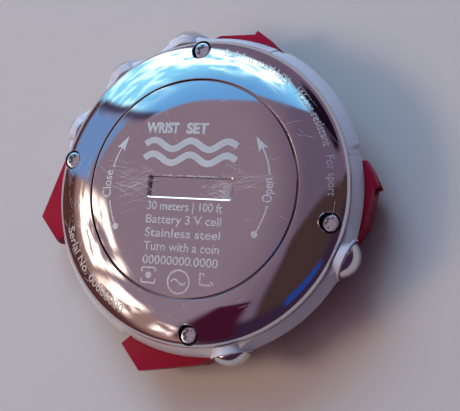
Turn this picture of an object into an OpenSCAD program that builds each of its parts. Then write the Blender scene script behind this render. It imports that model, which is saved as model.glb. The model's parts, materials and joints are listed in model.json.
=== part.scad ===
/* [Case] */
// Radius of the steel case back at its rim
rim_r = 20; // [19.8:0.1:20.2]
// Height of the steel rim edge above the front rim
rim_z = 9; // [8.9:0.1:9.2]
// Outer radius of the plastic case under the guards
case_r = 19.55; // [19.5:0.01:19.58]
// Outer radius of the white side guards
guard_r = 21.1; // [20.9:0.05:21.2]
// Half the gap between the lugs at 6 o'clock, which takes the strap
strap_half = 8.6; // [8.5:0.1:8.8]
// Half the gap between the lugs at 12 o'clock
strap_half_12 = 9.7; // [9.5:0.1:9.9]

/* [Back] */
// Radius of the battery cover
cover_r = 14; // [13.9:0.05:14.05]
// Length of the coin slot
slot_len = 11.4; // [9:0.1:13]
// Width of the coin slot
slot_w = 2.65; // [2:0.05:3]
// Direction of the coin slot, from +X
slot_turn = 48.6; // [0:0.1:90]
// Radius of the circle on which the four screws stand
screw_circle_r = 18.4; // [18.3:0.05:18.45]
// Turn from the closed cover to where its tabs come free
cover_turn = 45; // [40:1:50]

/* [Front] */
// Radius of the lens
lens_r = 14.9; // [14.5:0.1:15]
// Outer radius of the front bezel
bezel_r = 18.9; // [18:0.1:19.2]
// How far the lens sits behind the front rim
lens_sink = 0.5; // [0.3:0.1:0.7]

/* [Buttons] */
// Radius of a button's cap
cap_r = 2.4; // [2.3:0.05:2.4]
// Distance from the watch axis to the tip of a cap
cap_tip = 22.6; // [22.5:0.1:22.8]
// Height of the button axes above the front rim
button_z = 5.9; // [5.8:0.05:5.95]

/* [Strap bar] */
// Radius of the bores for the strap bars
bar_r = 0.75; // [0.6:0.05:0.8]
// Distance of the strap bars from the watch axis
bar_y = 17.9; // [17.7:0.1:18]

/* [Hidden] */
$fn = 96;
e = 0.01;
// heights of the layers, from the front rim at 0
bezel_top = 1.2;
lens_top = 2.1;
window_top = 2.5;
ring_top = 3.2;
lcd_front = 3.4;
lcd_back = 4.5;
guide_back = 5.1;
board_z = 6.35;
board_top = 6.85;
battery_z = 7.15;
battery_h = 3.2;
battery_r = 10;
case_top = rim_z - 0.9;
guard_high = case_top - 0.05;
guard_top_r = 20.15;
collar_in = rim_r + 0.08;
collar_out = 21.2;
collar_r = cap_r + 0.4;
back_z = rim_z + 2.5;
ledge_z = rim_z + 0.9;
ledge_top = ledge_z + 0.5;
cover_z = ledge_top + 0.1;
// radii of the hollows in the case
window_r = 13.3;
seat_r = lens_r + 0.3;
hollow_r = 14.6;
spigot_hollow_r = 16.2;
spigot_z = case_top - 1.1;
// lugs and strap recess
lug_low = 1.9;
lug_top = 5.7;
guard_low = lug_top + 0.05;
recess_y = 16.2;
recess_top = 5.6;
bar_z = 3.6;
seam_x = 9;
// button layout, as distances from the watch axis
button_turns = [28, -25.5, 151.2, 178.3, 205.7];
cap_base = cap_tip - 1.55;
cap_dome_r = 2.9;
scoop_floor = 20.4;
spring_floor = 19;
seal_floor = 16.6;
clip_at = 14.05;
stem_r = 0.75;
screw_turns = [38.1, 141.9, 218.1, 321.9];
screw_seat = rim_z - 0.15;
// domed back: a flat middle, then arcs down to the rim
flat_r = 9.5;
cover_arc_r = 28;
dome_arc_r = 13.49;
rim_round = 1.5;

// ---- helpers ----

// A flat ring lying at height z
module ring(r_in, r_out, z, h) {
    translate([0, 0, z]) difference() {
        cylinder(r = r_out, h = h);
        translate([0, 0, -1]) cylinder(r = r_in, h = h + 2);
    }
}

// A stretch of ring, centred on the direction turn
module ring_part(r_in, r_out, z, h, turn, half) {
    translate([0, 0, z]) rotate([0, 0, turn - half])
        rotate_extrude(angle = 2 * half) translate([r_in, 0]) square([r_out - r_in, h]);
}

// A ring of round section
module o_ring(r, section_r) {
    rotate_extrude() translate([r, 0]) circle(r = section_r, $fn = 32);
}

// Stands a child that is drawn along Z on a button's axis
module on_button(turn) {
    rotate([0, 0, turn]) translate([0, 0, button_z]) rotate([0, 90, 0]) children();
}

// A block centred on X and Y
module block(size, at) {
    translate([at[0] - size[0] / 2, at[1] - size[1] / 2, at[2]]) cube(size);
}

// ---- front ----

module front_bezel() {
    color("silver") rotate_extrude() difference() {
        polygon([[lens_r - 0.5, 0.35], [lens_r - 0.15, 0], [bezel_r - 0.5, 0], [bezel_r, 0.5],
            [bezel_r, bezel_top], [lens_r - 0.5, bezel_top]]);
        translate([0, lens_sink]) square([seat_r, 2]);
    }
}

module lens() {
    color("lightblue", 0.4) translate([0, 0, lens_sink]) cylinder(r = lens_r, h = lens_top - lens_sink);
}

module lens_gasket() {
    color("dimgray") ring(lens_r, seat_r, lens_sink + 0.1, lens_top - lens_sink - 0.1);
}

module dial_ring() {
    color("dimgray") difference() {
        translate([0, 0, window_top]) cylinder(r = hollow_r - 0.1, h = ring_top - window_top);
        translate([0, 0, window_top - 1]) intersection() {
            cylinder(r = 12.2, h = 3);
            block([40, 18, 3], [0, 0, 0]);
        }
    }
}

// ---- case ----

// Outline of a lug seen from the back, times its outline seen from the side
module lug(top_outline, side_outline) {
    intersection() {
        linear_extrude(height = 8) polygon(top_outline);
        translate([30, 0, 0]) rotate([90, 0, -90]) linear_extrude(height = 60) polygon(side_outline);
    }
}

// The side outline is drawn with y to the left, because of the turn that stands it up
module lugs_12() {
    for (side = [0, 1]) mirror([side, 0, 0])
        lug([[strap_half_12, 12], [strap_half_12, 19.15], [11, 19], [12.6, 18.6], [13.4, 18.38], [13.2, 17.8],
            [16.3, 14.1], [17.9, 9], [12, 9]],
            [[-5, lug_low], [-18.1, lug_low], [-19.2, 3], [-19.2, 4.9], [-18.8, lug_top], [-5, lug_top]]);
}

module lugs_6() {
    for (side = [0, 1]) mirror([side, 0, 0])
        lug([[strap_half, -12], [strap_half, -21.2], [12.7, -21.4], [17.3, -13.6], [18, -9.5], [12, -9]],
            [[5, lug_low], [20.2, lug_low], [21.1, 3], [21.2, 4.3], [20.9, lug_top], [5, lug_top]]);
}

module main_case() {
    color("crimson") difference() {
        union() {
            rotate_extrude() polygon([[0, bezel_top], [bezel_r, bezel_top], [19.4, 2], [20, lug_top],
                [case_r, lug_top], [case_r, case_top], [0, case_top]]);
            lugs_12();
            lugs_6();
        }
        translate([0, 0, -e]) cylinder(r = window_r, h = 12);
        translate([0, 0, -e]) cylinder(r = seat_r, h = lens_top + e);
        translate([0, 0, window_top]) cylinder(r = hollow_r, h = 12);
        translate([0, 0, spigot_z]) cylinder(r = spigot_hollow_r, h = 12);
        translate([-strap_half_12, recess_y, -1]) cube([2 * strap_half_12, 12, recess_top + 1]);
        translate([-strap_half, -recess_y - 12, -1]) cube([2 * strap_half, 12, recess_top + 1]);
        for (y = [-bar_y, bar_y])
            translate([-30, y, bar_z]) rotate([0, 90, 0]) cylinder(r = bar_r, h = 60);
        for (turn = screw_turns) rotate([0, 0, turn])
            translate([screw_circle_r, 0, 4]) cylinder(r = 0.57, h = 12);
        for (turn = button_turns) button_bore(turn);
    }
}

// The stepped bore of a button: guide, seal and spring pocket
module button_bore(turn) {
    on_button(turn) {
        translate([0, 0, 14]) cylinder(r = stem_r + 0.05, h = 12);
        translate([0, 0, seal_floor]) cylinder(r = 1.25, h = 12);
        translate([0, 0, spring_floor]) cylinder(r = 1.75, h = 12);
        translate([0, 0, scoop_floor]) cylinder(r = cap_r + 0.1, h = 12);
        translate([0, 0, collar_out - 0.3]) cylinder(r1 = cap_r + 0.1, r2 = cap_r + 0.5, h = 0.8);
    }
}

// ---- guards ----

// A ring whose outer face leans in towards the steel back
module guard_ring(r_out) {
    rotate_extrude() polygon([[case_r + 0.05, guard_low], [r_out, guard_low],
        [guard_top_r, guard_high], [case_r + 0.05, guard_high]]);
}

// The collar around the upper half of a button's cap, which slopes down inwards to the steel rim's edge,
// and the swelling of the guard that carries it
module hood(turn) {
    low = guard_low + 0.15;
    ramp = rim_z - 0.7;
    intersection() {
        on_button(turn) rotate_extrude()
            polygon([[0, collar_in], [collar_r, collar_in], [collar_r, collar_out - 0.1],
                [collar_r - 0.1, collar_out], [0, collar_out]]);
        rotate([0, 0, turn]) translate([0, 5, 0]) rotate([90, 0, 0]) linear_extrude(height = 10)
            polygon([[19, low], [22, low], [22, ramp + 0.8], [collar_in + 0.8, ramp + 0.8],
                [collar_in, ramp], [19, ramp]]);
    }
    foot = guard_low + 0.3;
    top = guard_high - 0.15;
    rotate([0, 0, turn]) intersection() {
        linear_extrude(height = 12)
            polygon([[19.75, -4], [20.4, -4], [21.1, -2.7], [21.1, 2.7], [20.4, 4], [19.75, 4]]);
        translate([0, 10, 0]) rotate([90, 0, 0]) linear_extrude(height = 20)
            polygon([[19, foot], [22, foot], [22, top - 1], [20.9, top], [19, top]]);
    }
}

module side_guard(turns) {
    color("white") difference() {
        union() {
            guard_ring(guard_r);
            for (turn = turns) hood(turn);
        }
        translate([turns[0] > 90 ? -seam_x - 0.05 : seam_x + 0.05 - 60, -30, 0]) cube([60, 60, 12]);
        for (turn = turns) button_bore(turn);
    }
}

module guard_2_to_4_oclock() { side_guard([button_turns[2], button_turns[3], button_turns[4]]); }

module guard_8_to_10_oclock() { side_guard([button_turns[0], button_turns[1]]); }

// The end guard stands a little proud of the side guards, and steps back over the lugs
module end_guard() {
    color("white") intersection() {
        guard_ring(guard_r + 0.2);
        linear_extrude(height = 12) polygon([[0.05 - seam_x, 10], [0.05 - seam_x, 18.85], [-8.5, 19],
            [-7.8, 19.7], [-7.8, 23], [7.8, 23], [7.8, 19.7], [8.5, 19], [seam_x - 0.05, 18.85],
            [seam_x - 0.05, 10]]);
    }
}

module guard_12_oclock() { end_guard(); }

module guard_6_oclock() { mirror([0, 1, 0]) end_guard(); }

// ---- back ----

// Section of the dome, whose arc runs at 30 degrees into the rounding of the rim
module back_dome() {
    round_at = [rim_r - rim_round, case_top];
    arc_at = round_at - (dome_arc_r - rim_round) * [sin(30), cos(30)];
    difference() {
        union() {
            translate([0, case_top - 5]) square([round_at[0] + rim_round * sin(30), 20]);
            translate([0, case_top - 5]) square([rim_r, round_at[1] - case_top + 5]);
            translate(round_at) circle(r = rim_round);
        }
        difference() {
            translate([arc_at[0], round_at[1] + rim_round * cos(30)]) square([30, 20]);
            translate(arc_at) circle(r = dome_arc_r, $fn = 180);
        }
    }
}

module case_back() {
    color("silver") difference() {
        rotate_extrude() difference() {
            union() {
                intersection() {
                    back_dome();
                    polygon([[13.6, case_top], [rim_r, case_top], [rim_r, back_z + 1],
                        [cover_r + 0.15, back_z + 1], [cover_r + 0.15, ledge_top], [12.15, ledge_top],
                        [12.15, ledge_z], [13.6, ledge_z]]);
                }
                translate([15, spigot_z + 0.1]) square([1.1, case_top - spigot_z]);
            }
            translate([15.55, spigot_z + 0.25]) square([1, 0.65]);
        }
        for (k = [0 : 2])
            ring_part(12, 12.95, ledge_z - 0.1, 0.7, 120 * k + cover_turn, 17);
        for (turn = screw_turns) rotate([0, 0, turn]) translate([screw_circle_r, 0, 0]) {
            translate([0, 0, screw_seat]) cylinder(r = 1.3, h = 5);
            cylinder(r = 0.65, h = 20);
        }
    }
}

module case_back_gasket() {
    color("dimgray") translate([0, 0, spigot_z + 0.575]) o_ring(15.87, 0.3);
}

module case_back_screws() {
    color("gainsboro") for (turn = screw_turns) rotate([0, 0, turn])
        translate([screw_circle_r, 0, 0]) difference() {
            union() {
                translate([0, 0, screw_seat]) cylinder(r = 1.05, h = 0.7);
                translate([0, 0, 4.4]) cylinder(r = 0.55, h = screw_seat - 4.3);
            }
            translate([0, 0, screw_seat + 0.25]) linear_extrude(height = 2) star_recess();
        }
}

// Six-lobed recess for the driver
module star_recess() {
    circle(r = 0.42, $fn = 24);
    for (k = [0 : 5]) rotate([0, 0, 60 * k]) translate([0.44, 0]) circle(r = 0.14, $fn = 16);
}

module battery_cover() {
    color("gainsboro") difference() {
        union() {
            rotate_extrude() difference() {
                translate([0, cover_z]) square([cover_r, back_z - cover_z]);
                difference() {
                    translate([flat_r, cover_z]) square([cover_r, 2]);
                    translate([flat_r, back_z - cover_arc_r]) circle(r = cover_arc_r, $fn = 360);
                }
            }
            ring(11.2, 12, rim_z + 0.3, cover_z - rim_z - 0.25);
            for (k = [0 : 2]) ring_part(11.9, 12.85, rim_z + 0.3, 0.5, 120 * k, 15);
        }
        ring(13.05, 13.75, cover_z - 1, 1.5);
        rotate([0, 0, slot_turn]) block([slot_len, slot_w, 2], [0, 0, back_z - 0.6]);
    }
}

module battery_cover_gasket() {
    color("dimgray") translate([0, 0, cover_z + 0.21]) o_ring(13.4, 0.28);
}

// ---- power ----

module battery() {
    color("lightgray") {
        translate([0, 0, battery_z + 0.3]) cylinder(r = battery_r, h = battery_h - 0.3);
        translate([0, 0, battery_z]) cylinder(r = battery_r - 1.2, h = 0.4);
    }
}

module battery_negative_contact() {
    color("goldenrod") {
        block([9, 2.4, 0.15], [0, 0, board_top]);
        block([4, 1.6, battery_z - board_top], [0, 0, board_top]);
    }
}

module battery_positive_contact() {
    color("goldenrod") ring_part(battery_r + 0.02, battery_r + 0.2, board_top, 2.2, 215, 12);
}

module battery_holder() {
    color("ivory") difference() {
        ring(battery_r + 0.25, 11, board_top, 9 - board_top);
        for (turn = [35, 125, 305]) rotate([0, 0, turn]) block([4, 5, 2], [battery_r + 0.5, 0, 7.8]);
    }
}

// ---- electronics ----

module circuit_board() {
    color("darkgreen") difference() {
        translate([0, 0, board_z]) cylinder(r = 13.2, h = board_top - board_z);
        for (x = [-12, 12]) translate([x, 0, 0]) cylinder(r = 0.5, h = 12);
    }
}

module processor_chip() { color("black") block([7, 7, 0.7], [-2.5, 0, board_z - 0.7]); }

module radio_chip() { color("black") block([4, 4, 0.6], [5.5, 2, board_z - 0.6]); }

module quartz_crystal() {
    color("silver") translate([-1.6, -12, board_top + 0.6]) rotate([0, 90, 0]) cylinder(r = 0.6, h = 3.2);
}

module buzzer() { color("dimgray") block([1.9, 5, 1.6], [-12.05, 0, board_top]); }

module antenna_rod() {
    color("slategray") translate([-4, 12.2, board_top + 1]) rotate([0, 90, 0]) cylinder(r = 0.7, h = 8);
}

module antenna_coil() {
    color("peru") translate([-2.5, 12.2, board_top + 1]) rotate([0, 90, 0]) ring(0.7, 0.98, 0, 5);
}

module button_switches() {
    color("silver") for (turn = button_turns) rotate([0, 0, turn])
        block([0.9, 2.4, board_z - 5.2], [12.25, 0, 5.2]);
}

module backlight_leds() {
    color("lightyellow") for (x = [-8.6, 8.6]) block([1, 1.6, 0.6], [x, 0, lcd_back + 0.02]);
}

// ---- display ----

module display_holder() {
    color("ivory") difference() {
        union() {
            translate([0, 0, ring_top]) cylinder(r = 13.4, h = 4.9 - ring_top);
            translate([0, 0, 4.9]) cylinder(r = 11.4, h = board_z - 4.9);
        }
        translate([0, 0, ring_top - 1]) lcd_shape(11.5, 9.5, lcd_back - ring_top + 1 + e);
        block([19, 13, 10], [0, 0, lcd_back]);
        for (side = [-1, 1]) block([13, 1.3, 10], [0, side * 8.3, lcd_back]);
    }
}

// A glass plate with cut corners, from its half width and half length
module lcd_shape(hx, hy, h) {
    linear_extrude(height = h) polygon([[hx, -5], [hx, 5], [hx - 4.5, hy], [4.5 - hx, hy], [-hx, 5],
        [-hx, -5], [4.5 - hx, -hy], [hx - 4.5, -hy]]);
}

module lcd_panel() {
    color("darkseagreen") translate([0, 0, lcd_front]) lcd_shape(11.4, 9.4, lcd_back - lcd_front);
}

module lcd_polariser() {
    color("gray") translate([0, 0, ring_top]) lcd_shape(11.2, 9.2, lcd_front - ring_top);
}

module light_guide() { color("aliceblue") block([16, 12.8, guide_back - lcd_back], [0, 0, lcd_back]); }

module lcd_connectors() {
    color("black") for (side = [-1, 1]) block([12.8, 1.2, board_z - lcd_back], [0, side * 8.3, lcd_back]);
}

// ---- buttons ----

module button(turn) {
    color("silver") on_button(turn) difference() {
        union() {
            rotate_extrude() {
                intersection() {
                    translate([0, cap_tip - cap_dome_r]) circle(r = cap_dome_r);
                    translate([0, cap_base]) square([cap_r, 2]);
                }
            }
            translate([0, 0, clip_at - 0.04]) cylinder(r = stem_r, h = cap_base - clip_at + 0.1);
            translate([0, 0, clip_at - 0.5]) cylinder(r = 0.4, h = 1);
        }
        ring(0.5, 3, clip_at - 0.02, 0.39);
        ring(0.55, 3, 17.95, 0.7);
    }
}

module seal(turn) {
    color("black") on_button(turn) translate([0, 0, 18.3]) o_ring(0.89, 0.32);
}

module clip(turn) {
    color("silver") on_button(turn) difference() {
        translate([0, 0, clip_at]) cylinder(r = 1.3, h = 0.35);
        cylinder(r = 0.52, h = 30);
        translate([0, -0.35, 10]) cube([3, 0.7, 10]);
    }
}

// A coil spring between the pocket floor and the cap
module spring(turn) {
    wire_r = 0.16;
    coil_r = 1.3;
    turns = 3;
    steps = 12 * turns;
    sides = 6;
    low = spring_floor + wire_r + 0.02;
    pitch = (cap_base - spring_floor - 2 * wire_r - 0.04) / turns;
    points = [for (i = [0 : steps], j = [0 : sides - 1])
        let (a = 360 * turns * i / steps, b = 360 * j / sides, r = coil_r + wire_r * cos(b))
            [r * cos(a), r * sin(a), low + pitch * turns * i / steps + wire_r * sin(b)]];
    skin = [for (i = [0 : steps - 1], j = [0 : sides - 1])
        let (k = (j + 1) % sides, n = i * sides) [n + j, n + sides + j, n + sides + k, n + k]];
    first = [for (j = [0 : sides - 1]) j];
    last = [for (j = [sides - 1 : -1 : 0]) steps * sides + j];
    color("gainsboro") on_button(turn) polyhedron(points, concat(skin, [first], [last]));
}

front_bezel();
lens();
lens_gasket();
main_case();
guard_2_to_4_oclock();
guard_8_to_10_oclock();
guard_12_oclock();
guard_6_oclock();
case_back();
case_back_gasket();
case_back_screws();
battery_cover();
battery_cover_gasket();
battery();
battery_negative_contact();
battery_positive_contact();
battery_holder();
circuit_board();
processor_chip();
radio_chip();
quartz_crystal();
buzzer();
antenna_rod();
antenna_coil();
button_switches();
display_holder();
lcd_connectors();
light_guide();
backlight_leds();
lcd_panel();
lcd_polariser();
dial_ring();
button(button_turns[0]);  // button_10_oclock
button(button_turns[1]);  // button_8_oclock
button(button_turns[2]);  // button_2_oclock
button(button_turns[3]);  // button_3_oclock
button(button_turns[4]);  // button_4_oclock
seal(button_turns[0]);  // seal_10_oclock
seal(button_turns[1]);  // seal_8_oclock
seal(button_turns[2]);  // seal_2_oclock
seal(button_turns[3]);  // seal_3_oclock
seal(button_turns[4]);  // seal_4_oclock
clip(button_turns[0]);  // clip_10_oclock
clip(button_turns[1]);  // clip_8_oclock
clip(button_turns[2]);  // clip_2_oclock
clip(button_turns[3]);  // clip_3_oclock
clip(button_turns[4]);  // clip_4_oclock
spring(button_turns[0]);  // spring_10_oclock
spring(button_turns[1]);  // spring_8_oclock
spring(button_turns[2]);  // spring_2_oclock
spring(button_turns[3]);  // spring_3_oclock
spring(button_turns[4]);  // spring_4_oclock
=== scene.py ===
import json
import math
import random

import bmesh
import bpy
from mathutils import Matrix, Vector


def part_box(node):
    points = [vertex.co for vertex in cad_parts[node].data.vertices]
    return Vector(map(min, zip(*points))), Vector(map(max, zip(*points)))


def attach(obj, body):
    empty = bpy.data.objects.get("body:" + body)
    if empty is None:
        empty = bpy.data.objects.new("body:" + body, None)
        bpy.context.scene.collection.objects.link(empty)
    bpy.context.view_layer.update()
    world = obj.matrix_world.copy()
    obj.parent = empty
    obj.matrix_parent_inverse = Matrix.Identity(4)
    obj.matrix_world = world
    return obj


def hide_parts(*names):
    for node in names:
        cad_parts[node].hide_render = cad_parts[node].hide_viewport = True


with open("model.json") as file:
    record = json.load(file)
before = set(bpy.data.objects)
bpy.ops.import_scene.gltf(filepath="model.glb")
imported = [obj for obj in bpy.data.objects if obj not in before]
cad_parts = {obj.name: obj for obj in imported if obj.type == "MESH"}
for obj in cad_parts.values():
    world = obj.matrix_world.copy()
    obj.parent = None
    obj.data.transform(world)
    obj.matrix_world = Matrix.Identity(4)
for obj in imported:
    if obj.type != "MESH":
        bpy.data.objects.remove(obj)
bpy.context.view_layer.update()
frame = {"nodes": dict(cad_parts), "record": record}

MM = 0.001

# ---- the watch's own sizes, in millimetres: heights from the front, radii from the watch's axis ----

BACK_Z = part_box("battery_cover")[1].z / MM
COVER_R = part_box("battery_cover")[1].x / MM
RIM_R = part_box("case_back")[1].x / MM
FLANGE_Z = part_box("guard_6_oclock")[1].z / MM + 0.05
GUARD_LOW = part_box("guard_6_oclock")[0].z / MM
BEZEL_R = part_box("front_bezel")[1].x / MM
LENS_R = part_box("lens")[1].x / MM
RIM_Z = BACK_Z - 2.5
CASE_R = 19.55

# the guard ring's foot and top
GUARD_R, GUARD_TOP_R, GUARD_HIGH = 21.1, 20.15, FLANGE_Z - 0.05

# the cover's flat middle and the curve outside it, and the case back's dome and rolled rim
FLAT_R, COVER_ARC = 9.5, 28.0
DOME_ARC, RIM_ROUND, RIM_SLOPE = 13.49, 1.5, math.radians(30)
GAP = 0.15

# the ledge that holds the cover, the hollow below it, and the ring that enters the case
LEDGE_R, LEDGE_LOW, LEDGE_HIGH, HOLLOW_R = 12.15, 9.9, 10.4, 13.6
RING_IN, RING_OUT, RING_DEPTH = 15.0, 16.1, 1.0
COVER_LOW = 10.5

SCREW_CIRCLE_R, SCREW_TURNS = 18.4, (38.1, 141.9, 218.1, 321.9)
SCREW_FOOT, SHANK_R, HEAD_R, COUNTERBORE_R = 4.4, 0.55, 1.05, 1.3
SEAT_Z = RIM_Z - 0.15
HEAD_TOP = SEAT_Z + 0.7

# the coin slot, and the direction that it and the cover's lines of words run in
SLOT_LENGTH, SLOT_WIDTH, SLOT_DEPTH = 11.4, 2.65, 0.6
TEXT_TURN = 48.6

# the buttons' directions by the hour that they stand at, seen from the front
BUTTON_Z = 5.9
BUTTONS = {"10": 28.0, "8": -25.5, "2": 151.2, "3": 178.3, "4": 205.7}
CAP_R, CAP_TIP, CAP_BASE, CAP_DOME = 2.4, 22.6, 21.05, 2.9
STEM_IN, NECK_OUT, NECK_R, STEM_R = 13.55, 14.0, 0.4, 0.75
CAP_BORE_R, CAP_BORE_FLOOR, SPRING_BORE_R = CAP_R + 0.1, 20.4, 1.75
COLLAR_IN, COLLAR_OUT, COLLAR_R, RAMP_Z = RIM_R + 0.08, 21.2, CAP_R + 0.4, RIM_Z - 0.45

# half the thickness of an etched mark, and the thickness of the front's print
MARK_HALF = 0.03
PRINT_THICK = 0.02

# how far out scratches may run on the cover, and how far in and out on the dome
COVER_WEAR = (0, 13.8)
DOME_WEAR = (14.3, 19.4)

# centres of the rim's rounding and of the dome's arc, in (r, z)
ROUND_AT = (RIM_R - RIM_ROUND, FLANGE_Z)
ARC_AT = (ROUND_AT[0] - (DOME_ARC - RIM_ROUND) * math.sin(RIM_SLOPE),
          ROUND_AT[1] - (DOME_ARC - RIM_ROUND) * math.cos(RIM_SLOPE))


def cover_height(r):
    """Height of the battery cover's face: a flat middle that falls away towards the edge."""
    if r <= FLAT_R:
        return BACK_Z
    return BACK_Z - COVER_ARC + math.sqrt(COVER_ARC ** 2 - (r - FLAT_R) ** 2)


def dome_height(r):
    """Height of the case back's dome, down to where the rim's rounding begins."""
    r = min(r, ROUND_AT[0] + RIM_ROUND * math.sin(RIM_SLOPE))
    return ARC_AT[1] + math.sqrt(DOME_ARC ** 2 - (r - ARC_AT[0]) ** 2)


def back_height(r):
    """Height of whichever steel part faces up at a radius."""
    return cover_height(r) if r < COVER_R + GAP / 2 else dome_height(r)


# ---- mesh tools ----

def finished(bm, name, body, material, smooth=35):
    """Turns a bmesh drawn in millimetres into a piece that rides on a body."""
    bmesh.ops.remove_doubles(bm, verts=bm.verts, dist=1e-5)
    bmesh.ops.dissolve_degenerate(bm, edges=bm.edges, dist=1e-6)
    bmesh.ops.recalc_face_normals(bm, faces=bm.faces)
    bmesh.ops.scale(bm, vec=(MM,) * 3, verts=bm.verts)
    mesh = bpy.data.meshes.new(name)
    bm.to_mesh(mesh)
    bm.free()
    return piece(mesh, name, body, material, smooth)


def piece(mesh, name, body, material, smooth):
    """Shows a finished mesh, shaded smooth up to an angle, or flat where the angle is 0."""
    obj = bpy.data.objects.new(name, mesh)
    bpy.context.scene.collection.objects.link(obj)
    mesh.materials.clear()
    mesh.materials.append(material)
    if smooth:
        mesh.shade_smooth()
        mesh.set_sharp_from_angle(angle=math.radians(smooth))
    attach(obj, body)
    return obj


def arc(centre, radius, start, end, steps):
    """Points on a circle in the (r, z) plane, from one direction to another, in degrees."""
    turns = [math.radians(start + (end - start) * k / steps) for k in range(steps + 1)]
    return [(centre[0] + radius * math.cos(t), centre[1] + radius * math.sin(t)) for t in turns]


def chain(bm, points, closed=False):
    """A row of edges through (x, z) points, standing in the XZ plane."""
    verts = [bm.verts.new((x, 0, z)) for x, z in points]
    edges = [bm.edges.new(pair) for pair in zip(verts, verts[1:])]
    if closed:
        edges.append(bm.edges.new((verts[-1], verts[0])))
    return verts + edges


def spun(points, closed=False, steps=288):
    """A turned shape: the outline in (r, z) millimetres, spun about Z."""
    bm = bmesh.new()
    bmesh.ops.spin(bm, geom=chain(bm, points, closed), cent=(0, 0, 0), axis=(0, 0, 1), dvec=(0, 0, 0),
                   angle=2 * math.pi, steps=steps, use_merge=True, use_duplicate=False)
    return bm


def block(bm, size, at, turn=0.0):
    """A block centred at a point, turned about Z."""
    made = bmesh.ops.create_cube(bm, size=1)["verts"]
    bmesh.ops.scale(bm, vec=size, verts=made)
    spin = Matrix.Rotation(math.radians(turn), 3, "Z")
    bmesh.ops.rotate(bm, cent=(0, 0, 0), matrix=spin, verts=made)
    bmesh.ops.translate(bm, vec=at, verts=made)


def on_button(turn):
    """Stands a shape that is drawn along Z on a button's axis."""
    return (Matrix.Rotation(math.radians(turn), 4, "Z") @ Matrix.Translation((0, 0, BUTTON_Z))
            @ Matrix.Rotation(math.radians(90), 4, "Y"))


def on_screw(turn):
    """Moves a shape that is drawn on the watch's axis to a screw."""
    return Matrix.Rotation(math.radians(turn), 4, "Z") @ Matrix.Translation((SCREW_CIRCLE_R, 0, 0))


def gathered(outlines, places):
    """Several turned shapes, each moved by its matrix, in one bmesh."""
    every = bmesh.new()
    for outline, place in zip(outlines, places):
        bm = spun(outline, steps=96)
        bmesh.ops.transform(bm, matrix=place, verts=bm.verts)
        mesh = bpy.data.meshes.new("turned")
        bm.to_mesh(mesh)
        bm.free()
        every.from_mesh(mesh)
        bpy.data.meshes.remove(mesh)
    return every


def carved(bm, cutter, operation="DIFFERENCE"):
    """The first shape less the second, or joined with it, both drawn in millimetres."""
    objects = []
    for shape in (bm, cutter):
        bmesh.ops.remove_doubles(shape, verts=shape.verts, dist=1e-5)
        bmesh.ops.recalc_face_normals(shape, faces=shape.faces)
        mesh = bpy.data.meshes.new("carving")
        shape.to_mesh(mesh)
        shape.free()
        objects.append(bpy.data.objects.new("carving", mesh))
        bpy.context.scene.collection.objects.link(objects[-1])
    cut = objects[0].modifiers.new("cut", "BOOLEAN")
    cut.operation = operation
    cut.solver = "EXACT"
    cut.object = objects[1]
    result = bmesh.new()
    result.from_object(objects[0], bpy.context.evaluated_depsgraph_get())
    for obj in objects:
        mesh = obj.data
        bpy.data.objects.remove(obj)
        bpy.data.meshes.remove(mesh)
    return result


def softened(obj, width, segments, angle):
    """Rounds every edge of a piece that turns by more than an angle."""
    bevel = obj.modifiers.new("soft_edges", "BEVEL")
    bevel.width = width * MM
    bevel.segments = segments
    bevel.limit_method = "ANGLE"
    bevel.angle_limit = math.radians(angle)
    bevel.harden_normals = True


def copied(node):
    """The CAD node's own shape in millimetres, with its loose triangles merged into whole faces."""
    bm = bmesh.new()
    bm.from_mesh(frame["nodes"][node].data)
    bmesh.ops.scale(bm, vec=(1 / MM,) * 3, verts=bm.verts)
    bmesh.ops.remove_doubles(bm, verts=bm.verts, dist=1e-3)
    bmesh.ops.dissolve_limit(bm, angle_limit=math.radians(0.6), verts=bm.verts, edges=bm.edges)
    return bm


# ---- shared shader effects ----

def new_group(name, inputs, outputs):
    """An empty node group with its sockets: (label, kind, value) going in, (label, kind) coming out."""
    group = bpy.data.node_groups.new(name, "ShaderNodeTree")
    for label, kind, value in inputs:
        socket = group.interface.new_socket(label, in_out="INPUT", socket_type=kind)
        socket.default_value = value
    for label, kind in outputs:
        group.interface.new_socket(label, in_out="OUTPUT", socket_type=kind)
    return group, group.nodes.new("NodeGroupInput"), group.nodes.new("NodeGroupOutput")


def math_node(tree, operation, a, b=None, clamp=False):
    """One sum on sockets or plain numbers. It gives the result's socket."""
    node = tree.nodes.new("ShaderNodeMath")
    node.operation = operation
    node.use_clamp = clamp
    for socket, value in zip(node.inputs, (a, b)):
        if isinstance(value, bpy.types.NodeSocket):
            tree.links.new(value, socket)
        elif value is not None:
            socket.default_value = value
    return node.outputs[0]


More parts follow.
